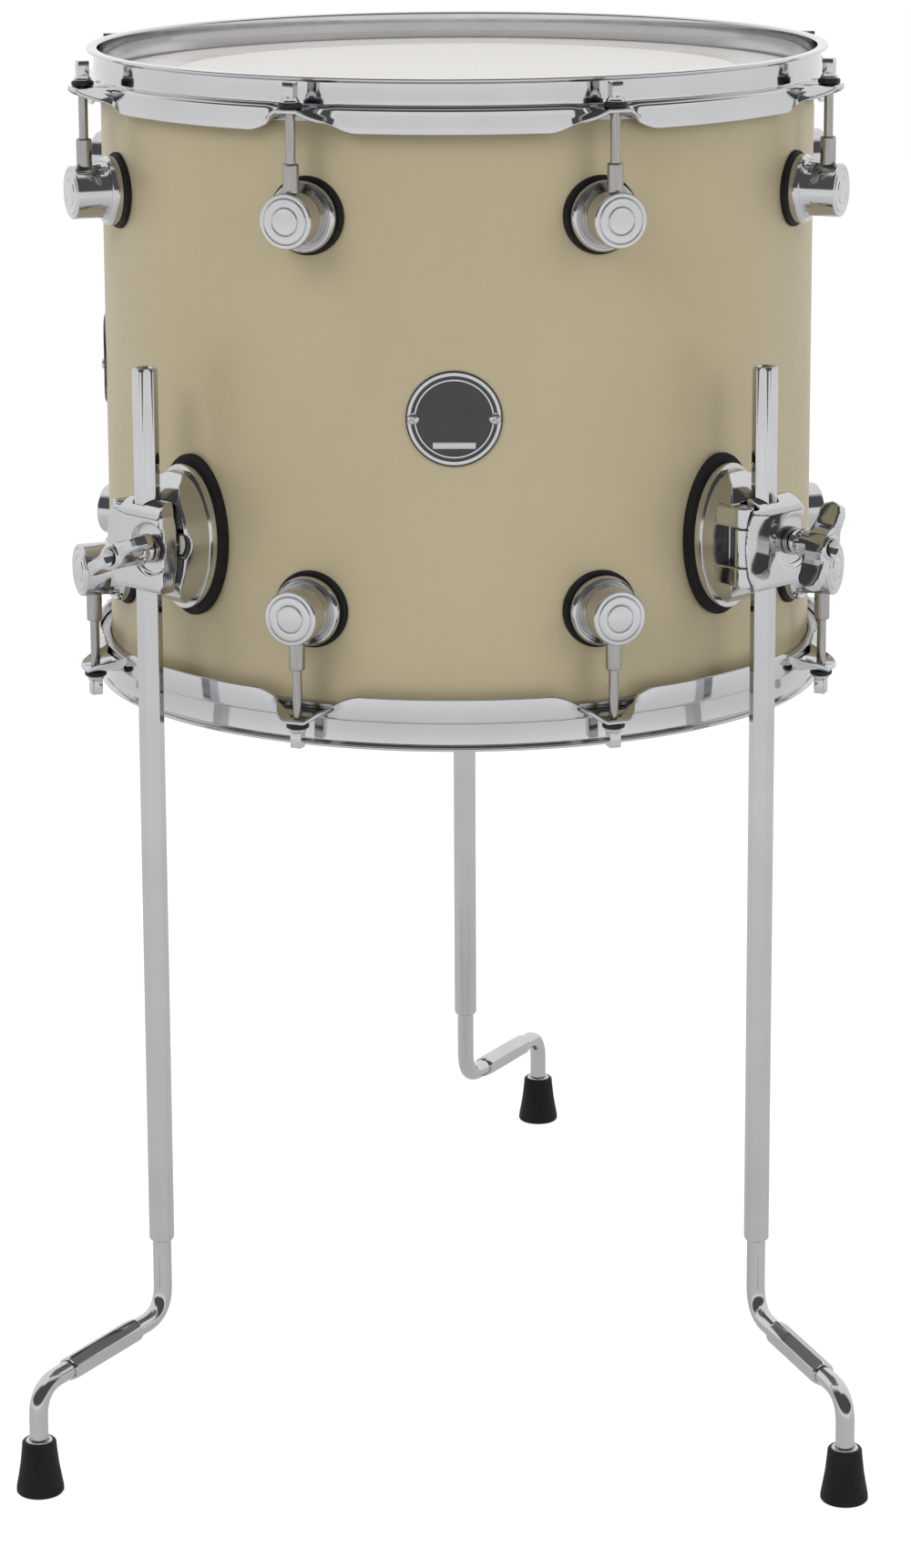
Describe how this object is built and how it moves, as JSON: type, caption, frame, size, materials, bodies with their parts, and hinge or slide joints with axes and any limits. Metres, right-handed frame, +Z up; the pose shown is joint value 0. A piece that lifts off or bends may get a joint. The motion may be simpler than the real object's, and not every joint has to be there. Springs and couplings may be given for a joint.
{
  "type": "floor tom drum",
  "caption": "Free-standing floor tom: a wooden shell between two rod-tensioned heads, carried by clamped legs that slide and end in rubber feet.",
  "frame": {"origin": "centre of the batter head's top face", "axes": "+Z up along the drum's axis; the badge faces -Y; +X is to the right seen from the badge's side"},
  "size_m": [0.4648, 0.637, 0.7663],
  "materials": {
    "shell_lacquer": "satin champagne lacquer over plywood",
    "head_film": "coated film with a satin metal flesh hoop",
    "hoop_chrome": "polished",
    "lug_chrome": "polished casting with a dark rubber gasket",
    "rod_steel": "plated",
    "badge_enamel": "glossy enamel in a bright rim",
    "bracket_chrome": "polished casting",
    "bolt_steel": "plated",
    "leg_chrome": "polished",
    "foot_rubber": "matt"
  },
  "bodies": {
    "drum": {"shell": "shell_lacquer", "batter_head": "head_film", "batter_hoop": "hoop_chrome", "batter_lug_1": "lug_chrome", "batter_lug_2": "lug_chrome", "batter_lug_3": "lug_chrome", "batter_lug_4": "lug_chrome", "batter_lug_5": "lug_chrome", "batter_lug_6": "lug_chrome", "batter_lug_7": "lug_chrome", "batter_lug_8": "lug_chrome", "resonant_head": "head_film", "resonant_hoop": "hoop_chrome", "resonant_lug_1": "lug_chrome", "resonant_lug_2": "lug_chrome", "resonant_lug_3": "lug_chrome", "resonant_lug_4": "lug_chrome", "resonant_lug_5": "lug_chrome", "resonant_lug_6": "lug_chrome", "resonant_lug_7": "lug_chrome", "resonant_lug_8": "lug_chrome", "badge": "badge_enamel", "side_badge": "badge_enamel", "front_left_bracket_base": "bracket_chrome", "front_left_swing_bolt": "bolt_steel", "front_right_bracket_base": "bracket_chrome", "front_right_swing_bolt": "bolt_steel", "back_bracket_base": "bracket_chrome", "back_swing_bolt": "bolt_steel"},
    "batter_tension_rod_1": {"batter_tension_rod_1": "rod_steel"},
    "batter_tension_rod_2": {"batter_tension_rod_2": "rod_steel"},
    "batter_tension_rod_3": {"batter_tension_rod_3": "rod_steel"},
    "batter_tension_rod_4": {"batter_tension_rod_4": "rod_steel"},
    "batter_tension_rod_5": {"batter_tension_rod_5": "rod_steel"},
    "batter_tension_rod_6": {"batter_tension_rod_6": "rod_steel"},
    "batter_tension_rod_7": {"batter_tension_rod_7": "rod_steel"},
    "batter_tension_rod_8": {"batter_tension_rod_8": "rod_steel"},
    "resonant_tension_rod_1": {"resonant_tension_rod_1": "rod_steel"},
    "resonant_tension_rod_2": {"resonant_tension_rod_2": "rod_steel"},
    "resonant_tension_rod_3": {"resonant_tension_rod_3": "rod_steel"},
    "resonant_tension_rod_4": {"resonant_tension_rod_4": "rod_steel"},
    "resonant_tension_rod_5": {"resonant_tension_rod_5": "rod_steel"},
    "resonant_tension_rod_6": {"resonant_tension_rod_6": "rod_steel"},
    "resonant_tension_rod_7": {"resonant_tension_rod_7": "rod_steel"},
    "resonant_tension_rod_8": {"resonant_tension_rod_8": "rod_steel"},
    "front_left_leg": {"front_left_leg": "leg_chrome", "front_left_foot": "foot_rubber"},
    "front_left_bracket_gate": {"front_left_bracket_gate": "bracket_chrome"},
    "front_left_nut_washer": {"front_left_nut_washer": "bolt_steel"},
    "front_left_wing_nut": {"front_left_wing_nut": "bracket_chrome"},
    "front_right_leg": {"front_right_leg": "leg_chrome", "front_right_foot": "foot_rubber"},
    "front_right_bracket_gate": {"front_right_bracket_gate": "bracket_chrome"},
    "front_right_nut_washer": {"front_right_nut_washer": "bolt_steel"},
    "front_right_wing_nut": {"front_right_wing_nut": "bracket_chrome"},
    "back_leg": {"back_leg": "leg_chrome", "back_foot": "foot_rubber"},
    "back_bracket_gate": {"back_bracket_gate": "bracket_chrome"},
    "back_nut_washer": {"back_nut_washer": "bolt_steel"},
    "back_wing_nut": {"back_wing_nut": "bracket_chrome"}
  },
  "joints": [
    {"name": "batter_tension_rod_1_turn", "type": "hinge", "parent": "drum", "child": "batter_tension_rod_1", "pos_m": [0.08522, -0.20575, 0], "axis": [0, 0, 1], "continuous": true},
    {"name": "batter_tension_rod_2_turn", "type": "hinge", "parent": "drum", "child": "batter_tension_rod_2", "pos_m": [0.20575, -0.08522, 0], "axis": [0, 0, 1], "continuous": true},
    {"name": "batter_tension_rod_3_turn", "type": "hinge", "parent": "drum", "child": "batter_tension_rod_3", "pos_m": [0.20575, 0.08522, 0], "axis": [0, 0, 1], "continuous": true},
    {"name": "batter_tension_rod_4_turn", "type": "hinge", "parent": "drum", "child": "batter_tension_rod_4", "pos_m": [0.08522, 0.20575, 0], "axis": [0, 0, 1], "continuous": true},
    {"name": "batter_tension_rod_5_turn", "type": "hinge", "parent": "drum", "child": "batter_tension_rod_5", "pos_m": [-0.08522, 0.20575, 0], "axis": [0, 0, 1], "continuous": true},
    {"name": "batter_tension_rod_6_turn", "type": "hinge", "parent": "drum", "child": "batter_tension_rod_6", "pos_m": [-0.20575, 0.08522, 0], "axis": [0, 0, 1], "continuous": true},
    {"name": "batter_tension_rod_7_turn", "type": "hinge", "parent": "drum", "child": "batter_tension_rod_7", "pos_m": [-0.20575, -0.08522, 0], "axis": [0, 0, 1], "continuous": true},
    {"name": "batter_tension_rod_8_turn", "type": "hinge", "parent": "drum", "child": "batter_tension_rod_8", "pos_m": [-0.08522, -0.20575, 0], "axis": [0, 0, 1], "continuous": true},
    {"name": "resonant_tension_rod_1_turn", "type": "hinge", "parent": "drum", "child": "resonant_tension_rod_1", "pos_m": [0.08522, -0.20575, -0.3316], "axis": [0, 0, -1], "continuous": true},
    {"name": "resonant_tension_rod_2_turn", "type": "hinge", "parent": "drum", "child": "resonant_tension_rod_2", "pos_m": [0.20575, -0.08522, -0.3316], "axis": [0, 0, -1], "continuous": true},
    {"name": "resonant_tension_rod_3_turn", "type": "hinge", "parent": "drum", "child": "resonant_tension_rod_3", "pos_m": [0.20575, 0.08522, -0.3316], "axis": [0, 0, -1], "continuous": true},
    {"name": "resonant_tension_rod_4_turn", "type": "hinge", "parent": "drum", "child": "resonant_tension_rod_4", "pos_m": [0.08522, 0.20575, -0.3316], "axis": [0, 0, -1], "continuous": true},
    {"name": "resonant_tension_rod_5_turn", "type": "hinge", "parent": "drum", "child": "resonant_tension_rod_5", "pos_m": [-0.08522, 0.20575, -0.3316], "axis": [0, 0, -1], "continuous": true},
    {"name": "resonant_tension_rod_6_turn", "type": "hinge", "parent": "drum", "child": "resonant_tension_rod_6", "pos_m": [-0.20575, 0.08522, -0.3316], "axis": [0, 0, -1], "continuous": true},
    {"name": "resonant_tension_rod_7_turn", "type": "hinge", "parent": "drum", "child": "resonant_tension_rod_7", "pos_m": [-0.20575, -0.08522, -0.3316], "axis": [0, 0, -1], "continuous": true},
    {"name": "resonant_tension_rod_8_turn", "type": "hinge", "parent": "drum", "child": "resonant_tension_rod_8", "pos_m": [-0.08522, -0.20575, -0.3316], "axis": [0, 0, -1], "continuous": true},
    {"name": "front_left_leg_slide", "type": "slide", "parent": "drum", "child": "front_left_leg", "axis": [0, 0, 1], "range_m": [-0.045, 0.37]},
    {"name": "front_left_gate_swing", "type": "hinge", "parent": "drum", "child": "front_left_bracket_gate", "pos_m": [-0.18158, -0.15613, -0.2405], "axis": [0, 0, -1], "range_deg": [0, 5.6]},
    {"name": "front_left_nut_travel", "type": "slide", "parent": "drum", "child": "front_left_nut_washer", "axis": [-0.7071, -0.7071, 0], "range_m": [0, 0.00375]},
    {"name": "front_left_wing_nut_turn", "type": "hinge", "parent": "front_left_nut_washer", "child": "front_left_wing_nut", "pos_m": [-0.17593, -0.19431, -0.2405], "axis": [-0.7071, -0.7071, 0], "range_deg": [0, 1081]},
    {"name": "front_right_leg_slide", "type": "slide", "parent": "drum", "child": "front_right_leg", "axis": [0, 0, 1], "range_m": [-0.045, 0.37]},
    {"name": "front_right_gate_swing", "type": "hinge", "parent": "drum", "child": "front_right_bracket_gate", "pos_m": [0.15613, -0.18158, -0.2405], "axis": [0, 0, -1], "range_deg": [0, 5.6]},
    {"name": "front_right_nut_travel", "type": "slide", "parent": "drum", "child": "front_right_nut_washer", "axis": [0.7071, -0.7071, 0], "range_m": [0, 0.00375]},
    {"name": "front_right_wing_nut_turn", "type": "hinge", "parent": "front_right_nut_washer", "child": "front_right_wing_nut", "pos_m": [0.19431, -0.17593, -0.2405], "axis": [0.7071, -0.7071, 0], "range_deg": [0, 1081]},
    {"name": "back_leg_slide", "type": "slide", "parent": "drum", "child": "back_leg", "axis": [0, 0, 1], "range_m": [-0.045, 0.37]},
    {"name": "back_gate_swing", "type": "hinge", "parent": "drum", "child": "back_bracket_gate", "pos_m": [0.018, 0.2388, -0.2405], "axis": [0, 0, -1], "range_deg": [0, 5.6]},
    {"name": "back_nut_travel", "type": "slide", "parent": "drum", "child": "back_nut_washer", "axis": [0, 1, 0], "range_m": [0, 0.00375]},
    {"name": "back_wing_nut_turn", "type": "hinge", "parent": "back_nut_washer", "child": "back_wing_nut", "pos_m": [-0.013, 0.2618, -0.2405], "axis": [0, 1, 0], "range_deg": [0, 1081]}
  ],
  "couplings": [
    {"joint": "front_left_wing_nut_turn", "follows": "front_left_nut_travel", "rad_per_m": 5026.5},
    {"joint": "front_left_gate_swing", "follows": "front_left_nut_travel", "rad_per_m": 25.907},
    {"joint": "front_right_wing_nut_turn", "follows": "front_right_nut_travel", "rad_per_m": 5026.5},
    {"joint": "front_right_gate_swing", "follows": "front_right_nut_travel", "rad_per_m": 25.907},
    {"joint": "back_wing_nut_turn", "follows": "back_nut_travel", "rad_per_m": 5026.5},
    {"joint": "back_gate_swing", "follows": "back_nut_travel", "rad_per_m": 25.907}
  ]
}
